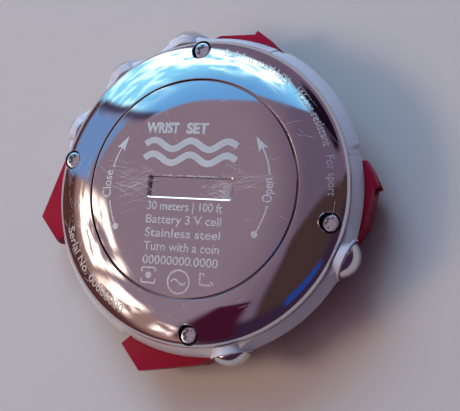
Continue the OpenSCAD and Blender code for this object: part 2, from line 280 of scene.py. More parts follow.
def make_hairlines():
    """Long thin scratches in several directions, as a mask."""
    group, given, out = new_group("hairlines", [("Scale", "NodeSocketFloat", 60.0),
                                                ("Cover", "NodeSocketFloat", 0.5)],
                                  [("Mask", "NodeSocketFloat")])
    coords = group.nodes.new("ShaderNodeTexCoord")
    total = None
    for k, turn in enumerate((17, 63, 101, 148)):
        place = group.nodes.new("ShaderNodeMapping")
        place.inputs["Rotation"].default_value = (0, 0, math.radians(turn))
        place.inputs["Location"].default_value = (0.37 * k, 0.71 * k, 0)
        place.inputs["Scale"].default_value = (1.0, 38.0, 6.0)
        group.links.new(coords.outputs["Object"], place.inputs["Vector"])
        noise = group.nodes.new("ShaderNodeTexNoise")
        noise.inputs["Detail"].default_value = 3.0
        group.links.new(given.outputs["Scale"], noise.inputs["Scale"])
        group.links.new(place.outputs[0], noise.inputs["Vector"])
        ramp = group.nodes.new("ShaderNodeMapRange")
        ramp.inputs["From Min"].default_value = 0.64
        ramp.inputs["From Max"].default_value = 0.72
        group.links.new(noise.outputs["Fac"], ramp.inputs["Value"])
        lines = ramp.outputs[0]
        total = lines if total is None else math_node(group, "MAXIMUM", total, lines)
    patches = group.nodes.new("ShaderNodeTexNoise")
    patches.inputs["Scale"].default_value = 90.0
    group.links.new(coords.outputs["Object"], patches.inputs["Vector"])
    less = math_node(group, "SUBTRACT", given.outputs["Cover"], 1.0)
    shown = math_node(group, "ADD", patches.outputs["Fac"], less)
    shown = math_node(group, "MULTIPLY", shown, 4.0, clamp=True)
    group.links.new(math_node(group, "MULTIPLY", total, shown), out.inputs["Mask"])
    return group


def make_mottle():
    """Slow and fine unevenness of a surface, both around one half."""
    group, given, out = new_group("mottle", [("Slow", "NodeSocketFloat", 120.0),
                                             ("Fine", "NodeSocketFloat", 2500.0)],
                                  [("Slow", "NodeSocketFloat"), ("Fine", "NodeSocketFloat")])
    coords = group.nodes.new("ShaderNodeTexCoord")
    for label in ("Slow", "Fine"):
        noise = group.nodes.new("ShaderNodeTexNoise")
        noise.inputs["Detail"].default_value = 4.0
        group.links.new(coords.outputs["Object"], noise.inputs["Vector"])
        group.links.new(given.outputs[label], noise.inputs["Scale"])
        group.links.new(noise.outputs["Fac"], out.inputs[label])
    return group


HAIRLINES = make_hairlines()
MOTTLE = make_mottle()


def shader(name):
    """A new material, its node tree and its main shader."""
    material = bpy.data.materials.new(name)
    material.use_nodes = True
    tree = material.node_tree
    return material, tree, tree.nodes["Principled BSDF"]


def placed(tree, group, **values):
    """A shared effect in a material, with its own values."""
    node = tree.nodes.new("ShaderNodeGroup")
    node.node_tree = group
    for label, value in values.items():
        node.inputs[label].default_value = value
    return node


def between(tree, mask, low, high, socket):
    """Feeds a socket with a number that runs from low to high as the mask runs from 0 to 1."""
    ranged = tree.nodes.new("ShaderNodeMapRange")
    ranged.inputs["To Min"].default_value = low
    ranged.inputs["To Max"].default_value = high
    tree.links.new(mask, ranged.inputs["Value"])
    tree.links.new(ranged.outputs[0], socket)


def tinted(tree, mask, first, second, socket):
    """Feeds a socket with a colour that goes from first to second as the mask runs from 0 to 1."""
    mix = tree.nodes.new("ShaderNodeMix")
    mix.data_type = "RGBA"
    mix.inputs["A"].default_value = (*first, 1)
    mix.inputs["B"].default_value = (*second, 1)
    tree.links.new(mask, mix.inputs["Factor"])
    tree.links.new(mix.outputs["Result"], socket)


def bumped(tree, height, distance, bsdf, strength):
    """Raises or sinks a surface by a mask. The distance is in millimetres."""
    bump = tree.nodes.new("ShaderNodeBump")
    bump.inputs["Distance"].default_value = distance * MM
    bump.inputs["Strength"].default_value = strength
    tree.links.new(height, bump.inputs["Height"])
    tree.links.new(bump.outputs["Normal"], bsdf.inputs["Normal"])


def polished_steel(name, cover=0.5, haze=0.05):
    """Mirror steel with a little haze and worn hairlines."""
    material, tree, bsdf = shader(name)
    bsdf.inputs["Metallic"].default_value = 1.0
    lines = placed(tree, HAIRLINES, Scale=60.0, Cover=cover)
    mottle = placed(tree, MOTTLE, Slow=140.0, Fine=3000.0)
    tinted(tree, mottle.outputs["Slow"], (0.66, 0.63, 0.64), (0.74, 0.71, 0.72),
           bsdf.inputs["Base Color"])
    worn = math_node(tree, "MULTIPLY", lines.outputs["Mask"], 0.28)
    haze_mask = math_node(tree, "MULTIPLY", mottle.outputs["Slow"], haze)
    tree.links.new(math_node(tree, "ADD", math_node(tree, "ADD", worn, haze_mask), 0.03),
                   bsdf.inputs["Roughness"])
    bumped(tree, lines.outputs["Mask"], -0.004, bsdf, 0.6)
    return material


def satin_steel(name, tone, rough, metal=1.0):
    """Plated or rubbed metal with a soft shine."""
    material, tree, bsdf = shader(name)
    bsdf.inputs["Metallic"].default_value = metal
    mottle = placed(tree, MOTTLE, Slow=300.0, Fine=5000.0)
    tinted(tree, mottle.outputs["Slow"], (tone * 0.85,) * 3, (tone * 1.1,) * 3,
           bsdf.inputs["Base Color"])
    between(tree, mottle.outputs["Fine"], rough - 0.1, rough + 0.15, bsdf.inputs["Roughness"])
    bumped(tree, mottle.outputs["Fine"], 0.004, bsdf, 0.5)
    return material


def turned_steel(name):
    """Steel with fine rings left by brushing on a lathe."""
    material, tree, bsdf = shader(name)
    bsdf.inputs["Metallic"].default_value = 1.0
    coords = tree.nodes.new("ShaderNodeTexCoord")
    split = tree.nodes.new("ShaderNodeSeparateXYZ")
    tree.links.new(coords.outputs["Object"], split.inputs[0])
    squares = [math_node(tree, "MULTIPLY", split.outputs[k], split.outputs[k]) for k in (0, 1)]
    radius = math_node(tree, "SQRT", math_node(tree, "ADD", *squares))
    rings = tree.nodes.new("ShaderNodeTexNoise")
    rings.noise_dimensions = "1D"
    rings.inputs["Scale"].default_value = 9000.0
    rings.inputs["Detail"].default_value = 3.0
    tree.links.new(radius, rings.inputs["W"])
    tinted(tree, rings.outputs["Fac"], (0.55, 0.55, 0.56), (0.72, 0.72, 0.73),
           bsdf.inputs["Base Color"])
    between(tree, rings.outputs["Fac"], 0.22, 0.42, bsdf.inputs["Roughness"])
    bumped(tree, rings.outputs["Fac"], 0.006, bsdf, 0.5)
    return material


def moulded(name, dark, light, rough=0.35, grain=0.004, specks=True, coat=0.0, shine=0.5):
    """Moulded plastic or rubber: slow colour drift, fine grain, worn patches."""
    material, tree, bsdf = shader(name)
    mottle = placed(tree, MOTTLE, Slow=160.0, Fine=4200.0)
    tinted(tree, mottle.outputs["Slow"], dark, light, bsdf.inputs["Base Color"])
    bsdf.inputs["Coat Weight"].default_value = coat
    bsdf.inputs["Coat Roughness"].default_value = 0.12
    bsdf.inputs["Specular IOR Level"].default_value = shine
    if specks:
        lines = placed(tree, HAIRLINES, Scale=70.0, Cover=0.45)
        worn = math_node(tree, "MULTIPLY", lines.outputs["Mask"], 0.25)
        uneven = math_node(tree, "MULTIPLY", mottle.outputs["Slow"], 0.2)
        tree.links.new(math_node(tree, "ADD", math_node(tree, "ADD", worn, uneven), rough - 0.1),
                       bsdf.inputs["Roughness"])
    else:
        between(tree, mottle.outputs["Slow"], rough - 0.08, rough + 0.08, bsdf.inputs["Roughness"])
    bumped(tree, mottle.outputs["Fine"], grain, bsdf, 0.5)
    return material


def clear(name, tint, rough=0.02):
    """Glass or clear plastic."""
    material, tree, bsdf = shader(name)
    bsdf.inputs["Transmission Weight"].default_value = 1.0
    bsdf.inputs["IOR"].default_value = 1.5
    mottle = placed(tree, MOTTLE, Slow=90.0, Fine=2000.0)
    lighter = tuple(min(1.0, c * 1.03) for c in tint)
    tinted(tree, mottle.outputs["Slow"], tint, lighter, bsdf.inputs["Base Color"])
    between(tree, mottle.outputs["Slow"], rough, rough + 0.05, bsdf.inputs["Roughness"])
    return material


STEEL = polished_steel("polished_steel")
CAP_STEEL = polished_steel("polished_caps", cover=0.35, haze=0.12)
SCREW_STEEL = satin_steel("screw_steel", 0.78, 0.16)
BEZEL_STEEL = turned_steel("turned_bezel_steel")
ETCHED = satin_steel("etched_marks", 0.88, 0.55)
SCRATCHED = satin_steel("deep_scratches", 0.9, 0.4, 0.2)
# near-black matte finish for a ring in each counterbore, painted shade where the recess lies in shadow
COUNTERBORE_SHADE = moulded("painted_counterbore_shade", (0.012, 0.010, 0.012), (0.035, 0.028, 0.03), 0.7, grain=0.01,
                specks=False, shine=0.2)
PRINT = moulded("white_print", (0.70, 0.70, 0.68), (0.80, 0.80, 0.78), 0.5, specks=False)
INK = moulded("display_segments", (0.015, 0.018, 0.022), (0.03, 0.035, 0.04), 0.45, specks=False)
WHITE = moulded("white_guard_plastic", (0.62, 0.63, 0.72), (0.70, 0.71, 0.80), 0.34, coat=0.2)
RED = moulded("red_case_plastic", (0.28, 0.0005, 0.022), (0.38, 0.001, 0.032), 0.45, shine=0.22)

MATERIALS = {
    "polished_steel": STEEL,
    "brushed_steel": BEZEL_STEEL,
    "screw_steel": SCREW_STEEL,
    "white_plastic": WHITE,
    "red_plastic": RED,
    "lens_glass": clear("lens_glass", (0.96, 0.98, 0.98)),
    "lcd_glass": moulded("lcd_film", (0.33, 0.36, 0.31), (0.38, 0.41, 0.35), 0.25, 0.001, False),
    "dial_plastic": moulded("dial_plastic", (0.02, 0.02, 0.022), (0.035, 0.035, 0.04), 0.5),
    "clear_plastic": clear("light_guide_plastic", (0.9, 0.94, 0.96), 0.2),
    "module_plastic": moulded("module_plastic", (0.66, 0.65, 0.6), (0.74, 0.73, 0.68), 0.5),
    "board_green": moulded("solder_mask", (0.01, 0.09, 0.03), (0.02, 0.14, 0.05), 0.3),
    "chip_black": moulded("chip_epoxy", (0.012, 0.012, 0.012), (0.03, 0.03, 0.03), 0.55),
    "ferrite": moulded("ferrite", (0.05, 0.05, 0.055), (0.09, 0.09, 0.095), 0.6),
    "copper_wire": moulded("enamelled_copper", (0.35, 0.12, 0.04), (0.5, 0.19, 0.07), 0.35),
    "gold_contact": satin_steel("gold_plating", 0.6, 0.25),
    "cell_steel": satin_steel("nickel_plating", 0.66, 0.28),
    "spring_steel": satin_steel("spring_wire", 0.55, 0.3),
    "seal_rubber": moulded("seal_rubber", (0.012, 0.012, 0.012), (0.03, 0.03, 0.03), 0.6),
    "zebra_rubber": moulded("zebra_rubber", (0.02, 0.02, 0.024), (0.05, 0.05, 0.055), 0.6),
}

# every CAD node that stays gets its slot's finish
SLOT_OF = {row["node"]: row["material_slot"] for row in frame["record"]["subparts"]}
for node, obj in frame["nodes"].items():
    obj.data.materials.clear()
    obj.data.materials.append(MATERIALS[SLOT_OF[node]])

CASE = "case"
COVER = "battery_cover_assembly"


# ---- the steel back ----

def make_case_back():
    """The domed steel back: rolled rim, ledge for the cover, and four counterbored screw holes."""
    inner_r = COVER_R + GAP
    slope_in = math.degrees(math.asin((inner_r - ARC_AT[0]) / DOME_ARC))
    outline = [(RING_IN, FLANGE_Z - RING_DEPTH), (RING_OUT, FLANGE_Z - RING_DEPTH), (RING_OUT, FLANGE_Z),
               (RIM_R - 0.06, FLANGE_Z), (RIM_R - 0.002, FLANGE_Z + 0.06)]
    outline += arc(ROUND_AT, RIM_ROUND, 5, 90 - math.degrees(RIM_SLOPE), 16)
    outline += arc(ARC_AT, DOME_ARC, 90 - math.degrees(RIM_SLOPE), 90 - slope_in, 40)[1:]
    edge = outline.pop()
    outline += [(edge[0] + 0.12, dome_height(edge[0] + 0.12)), (edge[0] + 0.035, edge[1] - 0.035),
                (edge[0], edge[1] - 0.12), (edge[0], LEDGE_HIGH), (LEDGE_R, LEDGE_HIGH),
                (LEDGE_R, LEDGE_LOW), (HOLLOW_R, LEDGE_LOW), (HOLLOW_R, FLANGE_Z), (RING_IN, FLANGE_Z)]
    hole_r, above = SHANK_R + 0.1, 14
    hole = ((0, 0), (hole_r, 0), (hole_r, SEAT_Z), (COUNTERBORE_R, SEAT_Z), (COUNTERBORE_R, above),
            (0, above))
    cutter = gathered([hole] * len(SCREW_TURNS), [on_screw(turn) for turn in SCREW_TURNS])
    bm = carved(spun(outline, closed=True, steps=360), cutter)
    back = finished(bm, "domed_case_back", CASE, STEEL, 30)
    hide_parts("case_back")
    for turn in SCREW_TURNS:
        make_counterbore_lip(turn)


def make_counterbore_lip(turn):
    """The narrow rounded edge around a screw's counterbore, following the dome."""
    bm = bmesh.new()
    bmesh.ops.create_cone(bm, cap_ends=False, segments=72, radius1=COUNTERBORE_R,
                          radius2=COUNTERBORE_R + 0.06, depth=0.08)
    bmesh.ops.transform(bm, matrix=on_screw(turn), verts=bm.verts)
    for v in bm.verts:
        r = math.hypot(v.co.x, v.co.y)
        v.co.z = dome_height(r) + (0.012 if v.co.z > 0 else -0.2)
    bmesh.ops.solidify(bm, geom=bm.faces, thickness=0.05)
    finished(bm, f"counterbore_lip_{int(turn)}", CASE, STEEL, 60)


def make_counterbore_shade():
    """A dark ring at the foot of the four counterbores, around the screw heads: painted shade for the
    shadow down in each recess.
    """
    ring = ((1.07, 8.87), (1.28, 8.87), (1.28, 9.42), (1.2, 9.28), (1.07, 9.22), (1.07, 8.87))
    bm = gathered([ring] * len(SCREW_TURNS), [on_screw(turn) for turn in SCREW_TURNS])
    finished(bm, "counterbore_painted_shade", CASE, COUNTERBORE_SHADE, 60)


def rounded_loop(bm, z, grow):
    """The coin slot's outline at one height, grown by a margin, on the slot's own direction."""
    half_l, half_w, corner = SLOT_LENGTH / 2 + grow, SLOT_WIDTH / 2 + grow, 0.3 + grow
    points = []
    for k, (sx, sy) in enumerate(((1, 1), (-1, 1), (-1, -1), (1, -1))):
        points += arc((sx * (half_l - corner), sy * (half_w - corner)), corner, 90 * k, 90 * k + 90, 6)
    turn = Matrix.Rotation(math.radians(TEXT_TURN), 2)
    verts = [bm.verts.new((*(turn @ Vector(point)), z)) for point in points]
    return [bm.edges.new(pair) for pair in zip(verts, verts[1:] + verts[:1])], verts


def lofted(bm, rings):
    """Skins a row of (edges, verts) loops and closes both ends."""
    for first, second in zip(rings, rings[1:]):
        bmesh.ops.bridge_loops(bm, edges=first[0] + second[0])
    for _, verts in (rings[0], rings[-1]):
        bmesh.ops.contextual_create(bm, geom=verts)


def make_battery_cover():
    """The coin-slot cover: a flat middle, a slightly domed border and a chamfered slot."""
    outline = [(0, COVER_LOW), (COVER_R - 0.1, COVER_LOW), (COVER_R, COVER_LOW + 0.1)]
    edge_z, edge_r = cover_height(COVER_R), COVER_R - 0.14
    outline += [(COVER_R, edge_z - 0.14), (COVER_R - 0.04, edge_z - 0.04),
                (edge_r, cover_height(edge_r))]
    steps = 24
    for k in range(1, steps + 1):
        r = edge_r - (edge_r - FLAT_R) * k / steps
        outline.append((r, cover_height(r)))
    outline += [(6.0, BACK_Z), (0, BACK_Z)]
    cutter = bmesh.new()
    rings = [rounded_loop(cutter, BACK_Z + z, grow) for z, grow in
             ((-SLOT_DEPTH, -0.06), (-SLOT_DEPTH + 0.06, 0), (-0.07, 0), (0.035, 0.25), (1, 0.25))]
    lofted(cutter, rings)
    bm = carved(spun(outline, steps=360), cutter)
    cover = finished(bm, "battery_cover_plate", COVER, STEEL, 14)
    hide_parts("battery_cover")


def make_screws():
    """Four screws with a rounded head and a six-lobed recess."""

    def loop(bm, z, radius):
        """A closed loop at one height, whose radius may change with its direction."""
        made = bmesh.ops.create_circle(bm, cap_ends=False, segments=96, radius=1)["verts"]
        for v in made:
            turn = math.atan2(v.co.y, v.co.x)
            r = radius(turn)
            v.co = (r * math.cos(turn), r * math.sin(turn), z)
        here = set(made)
        return [e for e in bm.edges if e.verts[0] in here and e.verts[1] in here], made

    def star(size):
        return lambda turn: size * (0.5 + 0.075 * math.cos(6 * turn))

    def plain(size):
        return lambda turn: size

    bm = bmesh.new()
    loops = [(SCREW_FOOT, plain(SHANK_R)), (SEAT_Z, plain(SHANK_R)), (SEAT_Z, plain(HEAD_R - 0.03)),
             (SEAT_Z + 0.05, plain(HEAD_R)), (HEAD_TOP - 0.14, plain(HEAD_R)),
             (HEAD_TOP - 0.04, plain(HEAD_R - 0.04)), (HEAD_TOP, plain(HEAD_R - 0.15)),
             (HEAD_TOP, star(1.38)), (HEAD_TOP - 0.05, star(1.26)), (HEAD_TOP - 0.42, star(1.15))]
    lofted(bm, [loop(bm, z, radius) for z, radius in loops])
    one = bpy.data.meshes.new("one_screw")
    bm.to_mesh(one)
    bm.free()
    every = bmesh.new()
    for k, turn in enumerate(SCREW_TURNS):
        start = len(every.verts)
        every.from_mesh(one)
        every.verts.ensure_lookup_table()
        bmesh.ops.transform(every, matrix=on_screw(turn) @ Matrix.Rotation(0.3 + 0.7 * k, 4, "Z"),
                            verts=every.verts[start:])
    bpy.data.meshes.remove(one)
    screws = finished(every, "star_screws", CASE, SCREW_STEEL, 35)
    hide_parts("case_back_screws")


# ---- marks etched into the back ----

def letters(body, height, width=None, bold=0.0):
    """Text as a thin closed mesh in millimetres, its left end at x = 0 on the baseline."""
    curve = bpy.data.curves.new("lettering", "FONT")
    curve.body = body
    curve.size = height * 1.42
    curve.extrude = MARK_HALF
    curve.offset = bold
    curve.resolution_u = 4
    holder = bpy.data.objects.new("lettering", curve)
    bpy.context.scene.collection.objects.link(holder)
    bm = bmesh.new()
    mesh = holder.to_mesh()
    bm.from_mesh(mesh)
    holder.to_mesh_clear()
    bpy.data.objects.remove(holder)
    bpy.data.curves.remove(curve)
    low, high = min(v.co.x for v in bm.verts), max(v.co.x for v in bm.verts)
    stretch = 1 if width is None else width / (high - low)
    for v in bm.verts:
        v.co.x = (v.co.x - low) * stretch
    return bm


def outline_shape(points):
    """A thin flat plate from (x, y) points."""
    bm = bmesh.new()
    bm.faces.new([bm.verts.new((x, y, -MARK_HALF)) for x, y in points])
    lifted = bmesh.ops.extrude_face_region(bm, geom=bm.faces[:])["geom"]
    top = [v for v in lifted if isinstance(v, bmesh.types.BMVert)]
    bmesh.ops.translate(bm, vec=(0, 0, 2 * MARK_HALF), verts=top)
    return bm


def strip(points, width):
    """A thin flat band of even width along a line of (x, y) points."""
    sides = [[], []]
    for k, point in enumerate(points):
        ahead = Vector(points[min(k + 1, len(points) - 1)]) - Vector(points[max(k - 1, 0)])
        across = Vector((-ahead.y, ahead.x)).normalized() * width / 2
        sides[0].append(Vector(point) + across)
        sides[1].append(Vector(point) - across)
    return outline_shape([tuple(p) for p in sides[0] + sides[1][::-1]])


def straight(left, base):
    """Places a mark on the slot's own lines: along the slot from left, up from base."""
    turn = Matrix.Rotation(math.radians(TEXT_TURN), 2)
    return lambda x, y: tuple(turn @ Vector((left + x, base + y)))


def round_the_rim(radius, start, clockwise):
    """Places a mark along a circle. Clockwise marks stand with their tops outwards."""
    sign = -1 if clockwise else 1

    def place(x, y):
        turn = math.radians(start) + sign * x / radius
        r = radius - sign * y
        return r * math.cos(turn), r * math.sin(turn)
    return place


def etched(name, parts, body, lift=0.012):
    """Joins (mesh, place) parts into one mark that follows the back's surface."""
    joined = bmesh.new()
    for bm, place in parts:
        for v in bm.verts:
            x, y = place(v.co.x, v.co.y)
            v.co = (x, y, back_height(math.hypot(x, y)) + lift - MARK_HALF + v.co.z)
        mesh = bpy.data.meshes.new("mark")
        bm.to_mesh(mesh)
        bm.free()
        joined.from_mesh(mesh)
        bpy.data.meshes.remove(mesh)
    finished(joined, name, body, ETCHED, 0)


def wave(length, height, thickness, crests):
    """A wavy band from x = 0."""
    steps = 60
    points = [(length * k / steps, height * math.sin(2 * math.pi * crests * k / steps))
              for k in range(steps + 1)]
    return strip(points, thickness)


def ring_mark(x, y, radius, width):
    """A ring around a point."""
    points = arc((x, y), radius, 0, 360, 40)
    return strip(points[:-1] + points[:1], width)


def disc_mark(x, y, radius):
    """A full disc around a point."""
    return outline_shape(arc((x, y), radius, 0, 360, 18)[:-1])


def arrow(radius, dot, word_start, word_end, head):
    """A dot, a curved line with a gap for a word, and an arrowhead, along a circle."""
    sign = 1 if head > dot else -1
    place = round_the_rim(radius, 0, False)

    def along(turn):
        return radius * math.radians(turn)

    def line(start, end):
        steps = 12
        return strip([(along(start + (end - start) * k / steps), 0) for k in range(steps + 1)], 0.18)

    barb, half_width = head - sign * 10.5, 0.62
    tip = outline_shape([(along(head), 0), (along(barb), half_width), (along(barb + sign * 1.8), 0),
                         (along(barb), -half_width)])
    shaft = (line(dot, word_start), line(word_end, barb + sign * 2))
    return [(part, place) for part in (disc_mark(along(dot), 0, 0.42), *shaft, tip)]


def make_marks():
    """The cover's words, waves, signs and two arrows, and the words around the dome."""
    parts = [(letters("WRIST", 1.3, 4.6, 0.085), straight(-6.8, 6.95)),
             (letters("SET", 1.3, 3.0, 0.085), straight(-1.2, 6.95)),
             (wave(12.6, 0.55, 0.85, 2.5), straight(-6.7, 5.4)),
             (wave(12.6, 0.55, 0.85, 2.5), straight(-6.7, 3.6))]
    lines = ["30 meters | 100 ft", "Battery 3 V cell", "Stainless steel", "Turn with a coin",
             "00000000.0000"]
    for k, words in enumerate(lines):
        parts.append((letters(words, 1.1, 10.25, 0.012), straight(-5.55 + 0.03 * k, -3.02 - 1.72 * k)))
    square = [(0, 0), (1.9, 0), (1.9, 1.9), (0, 1.9), (0, 0)]
    parts += [(strip(square[i:i + 2], 0.2), straight(-5.4, -12.3)) for i in range(4)]
    parts += [(disc_mark(0.95, 0.95, 0.42), straight(-5.4, -12.3)),
              (ring_mark(0, 0, 1.45, 0.22), straight(-0.27, -11.95)),
              (wave(2.0, 0.3, 0.22, 1), straight(-1.27, -11.95)),
              (strip([(0, 0), (0, 1.5)], 0.22), straight(2.6, -12.1)),
              (strip([(0, 0), (1.5, 0)], 0.22), straight(2.6, -12.1)),
              (strip([(0, 1.5), (1.6, 0.1)], 0.22), straight(2.8, -12.1))]
    parts += arrow(11.2, 257.6, 239.5, 217, 193.7)
    parts += arrow(10.65, 17.6, 38.5, 59.5, 87.5)
    parts.append((letters("Close", 1.25, 3.4, 0.012), round_the_rim(11.05, 237, True)))
    parts.append((letters("Open", 1.25, 3.1, 0.012), round_the_rim(11.0, 40.5, False)))
    etched("cover_marks", parts, COVER)
    rim = [(letters("Stainless steel back   Water resistant   For sport", 1.0, 25.6, 0.01),
            round_the_rim(17.6, 131.5, True)),
           (letters("Serial No. 00000000", 1.15, 14.2, 0.012), round_the_rim(18.5, 247.5, False))]
    etched("rim_marks", rim, CASE, lift=0.02)


def scratch_lines(name, body, lines, depth, height=back_height):
    """Fine scratches that stand as hair-thin bright lines on the steel."""
    curve = bpy.data.curves.new(name, "CURVE")
    curve.dimensions = "3D"
    curve.bevel_depth = depth
    curve.bevel_resolution = 0
    curve.use_fill_caps = True
    for points in lines:
        spline = curve.splines.new("POLY")
        spline.points.add(len(points) - 1)
        for target, (x, y) in zip(spline.points, points):
            target.co = (x, y, height(math.hypot(x, y)) - depth * 0.35, 1)
            target.radius = 1
        spline.points[0].radius = spline.points[-1].radius = 0.25
    holder = bpy.data.objects.new(name, curve)
    bpy.context.scene.collection.objects.link(holder)
    bm = bmesh.new()
    mesh = holder.to_mesh()
    bm.from_mesh(mesh)
    holder.to_mesh_clear()
    bpy.data.objects.remove(holder)
    bpy.data.curves.remove(curve)
    finished(bm, name, body, SCRATCHED, 0)


def on_slot(u, v):
    """A point given along and across the coin slot."""
    return tuple(Matrix.Rotation(math.radians(TEXT_TURN), 2) @ Vector((u, v)))


def make_scratches():
    """Wear from coins around the slot, and from the table over the cover and the dome."""
    rng = random.Random(7)

    def line(x, y, turn, length, bend, limits):
        """A bent line about a point, kept between two radii."""
        points = []
        for k in range(9):
            t = k / 8 - 0.5
            u, v = t * length, bend * t * t * length
            px = x + u * math.cos(turn) - v * math.sin(turn)
            py = y + u * math.sin(turn) + v * math.cos(turn)
            if limits[0] < math.hypot(px, py) < limits[1]:
                points.append((px, py))
        return points

    slot_turn = math.radians(TEXT_TURN)
    cover_lines = []
    for _ in range(62):
        end = rng.choice((-1, -1, -1, -1, 1))
        u = end * (SLOT_LENGTH / 2 + rng.triangular(-0.6, 5.2, 0.8))
        beside = abs(u) < SLOT_LENGTH / 2 + 0.2
        v = SLOT_WIDTH / 2 + rng.uniform(0.1, 2.4) if beside else rng.gauss(0.6, 1.3)
        x = u * math.cos(slot_turn) - v * math.sin(slot_turn)
        y = u * math.sin(slot_turn) + v * math.cos(slot_turn)
        turn = slot_turn + rng.uniform(-0.5, 0.5)
        cover_lines.append(line(x, y, turn, rng.uniform(0.8, 5), 0.05, COVER_WEAR))
    for _ in range(30):
        x, y = rng.uniform(-11, 11), rng.uniform(-11, 11)
        turn = rng.uniform(0, math.pi)
        cover_lines.append(line(x, y, turn, rng.uniform(0.4, 2.2), 0.1, COVER_WEAR))
    # one long scratch across the cover
    cover_lines.append(line(-8.8, 2.8, slot_turn - 1.1, 9.5, 0.02, COVER_WEAR))
    dome_lines = []
    for _ in range(70):
        worn_side = rng.random() < 0.75
        turn = rng.gauss(math.radians(255), 0.45) if worn_side else rng.uniform(0, 2 * math.pi)
        r = rng.uniform(14.6, 18.8)
        dome_lines.append(line(r * math.cos(turn), r * math.sin(turn), turn + 1.57 + rng.gauss(0, 0.5),
                               rng.uniform(0.4, 3.0), 0.15, DOME_WEAR))
    for _ in range(60):
        turn = math.radians(rng.gauss(246, 12))
        r = rng.uniform(14.5, 17.8)
        dome_lines.append(line(r * math.cos(turn), r * math.sin(turn), rng.uniform(0, math.pi),
                               rng.uniform(0.2, 0.7), 0.3, DOME_WEAR))
    scratch_lines("cover_scratches", COVER, [p for p in cover_lines if len(p) > 2], 0.014)
    scratch_lines("dome_scratches", CASE, [p for p in dome_lines if len(p) > 2], 0.016)
    # the slot's floor, at the end where a coin has slipped, and then its dented lip
    slot_lines, lip_lines = [], []
    for _ in range(150):
        u, v = rng.triangular(1.2, 5.5, 5.0), rng.uniform(-1.2, 1.2)
        half = min(rng.uniform(0.1, 0.7), 5.6 - u)
        lean = rng.gauss(0, 0.12)
        slot_lines.append([on_slot(u - half, v - lean * half), on_slot(u, v),
                           on_slot(u + half, v + lean * half)])
    for _ in range(64):
        u = rng.triangular(-5.6, 5.6, 1.5)
        v = SLOT_WIDTH / 2 + rng.uniform(0.02, 0.16)
        half = rng.uniform(0.1, 0.5)
        lip_lines.append([on_slot(u - half, v), on_slot(u, v + rng.uniform(-0.03, 0.03)),
                          on_slot(u + half, v)])
    scratch_lines("slot_scratches", COVER, slot_lines, 0.024, lambda r: BACK_Z - SLOT_DEPTH)
    scratch_lines("slot_lip_dents", COVER, lip_lines, 0.022)


# ---- the plastic case and guards ----

def make_red_case():
    """The case with its lugs, with every moulded edge rounded."""
    case = finished(copied("main_case"), "red_case_body", CASE, RED, 30)
    softened(case, 0.16, 3, 28)
    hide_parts("main_case")


def guard_section(proud):
    """The guard ring's section in (r, z): a flat foot and a face that leans in, softly rounded."""
    low, high = GUARD_LOW, GUARD_HIGH
    foot, top = GUARD_R + proud, GUARD_TOP_R
    points = [(CASE_R + 0.05, low), (foot - 0.12, low), (foot - 0.02, low + 0.08)]
    steps = 10
    for k in range(steps + 1):
        t = k / steps
        bulge = 0.10 * math.sin(math.pi * t)
        points.append((foot + (top - foot) * t + bulge, low + 0.2 + (high - low - 0.26) * t))
    points += [(top - 0.05, high), (CASE_R + 0.05, high)]
    return points


def swell(turn, height, buttons):
    """How far a guard stands out of its ring, at a direction in degrees and a share of its height."""
    full, fade = 3.0, 9.0
    most = 0.0
    for button in buttons:
        off = abs((turn - button + 180) % 360 - 180)
        shape = 1 - max(0.0, min(1.0, (off - full) / fade))
        most = max(most, shape * shape * (3 - 2 * shape))
    return most * (0.12 + 0.85 * height)


def guard_sweep(start, end, buttons=(), proud=0.0, steps=200):
    """The guard ring's section swept from one direction to another, swelling at the buttons."""
    bm = bmesh.new()
    geom = chain(bm, guard_section(proud), closed=True)
    edges = [g for g in geom if isinstance(g, bmesh.types.BMEdge)]
    face = bmesh.ops.contextual_create(bm, geom=edges)["faces"]
    turned = Matrix.Rotation(math.radians(start), 3, "Z")
    bmesh.ops.rotate(bm, cent=(0, 0, 0), matrix=turned, verts=bm.verts)
    section = bm.verts[:] + bm.edges[:] + list(face)
    bmesh.ops.spin(bm, geom=section, cent=(0, 0, 0), axis=(0, 0, 1), dvec=(0, 0, 0),
                   angle=math.radians(end - start), steps=steps, use_merge=False, use_duplicate=False)
    for v in bm.verts:
        r = math.hypot(v.co.x, v.co.y)
        if buttons and r > CASE_R + 0.3:
            height = max(0.0, min(1.0, (v.co.z - GUARD_LOW - 0.1) / (GUARD_HIGH - GUARD_LOW)))
            soft = 1 - max(0.0, (height - 0.86) / 0.14) ** 2 * 0.75
            grown = r + soft * swell(math.degrees(math.atan2(v.co.y, v.co.x)), height, buttons)
            v.co.x, v.co.y = v.co.x * grown / r, v.co.y * grown / r
    return bm


def collar(turn):
    """The collar over a button's cap: the upper half of a round drum, sloping down to the steel rim."""
    edge = 0.12
    outline = [(0, COLLAR_IN), (COLLAR_R, COLLAR_IN), (COLLAR_R, COLLAR_OUT - edge)]
    outline += arc((COLLAR_R - edge, COLLAR_OUT - edge), edge, 0, 90, 4)[1:] + [(0, COLLAR_OUT)]
    bm = spun(outline, steps=90)
    bmesh.ops.transform(bm, matrix=on_button(turn), verts=bm.verts)
    out = Vector((math.cos(math.radians(turn)), math.sin(math.radians(turn)), 0))
    up = Vector((0, 0, 1))
    ramp, foot = (out * COLLAR_IN + up * RAMP_Z, up - out), (up * (GUARD_LOW + 0.15), -up)
    for point, normal in (ramp, foot):
        geom = bm.verts[:] + bm.edges[:] + bm.faces[:]
        cut = bmesh.ops.bisect_plane(bm, geom=geom, plane_co=point, plane_no=normal.normalized(),
                                     clear_outer=True)["geom_cut"]
        bmesh.ops.edgeloop_fill(bm, edges=[g for g in cut if isinstance(g, bmesh.types.BMEdge)])
    return bm


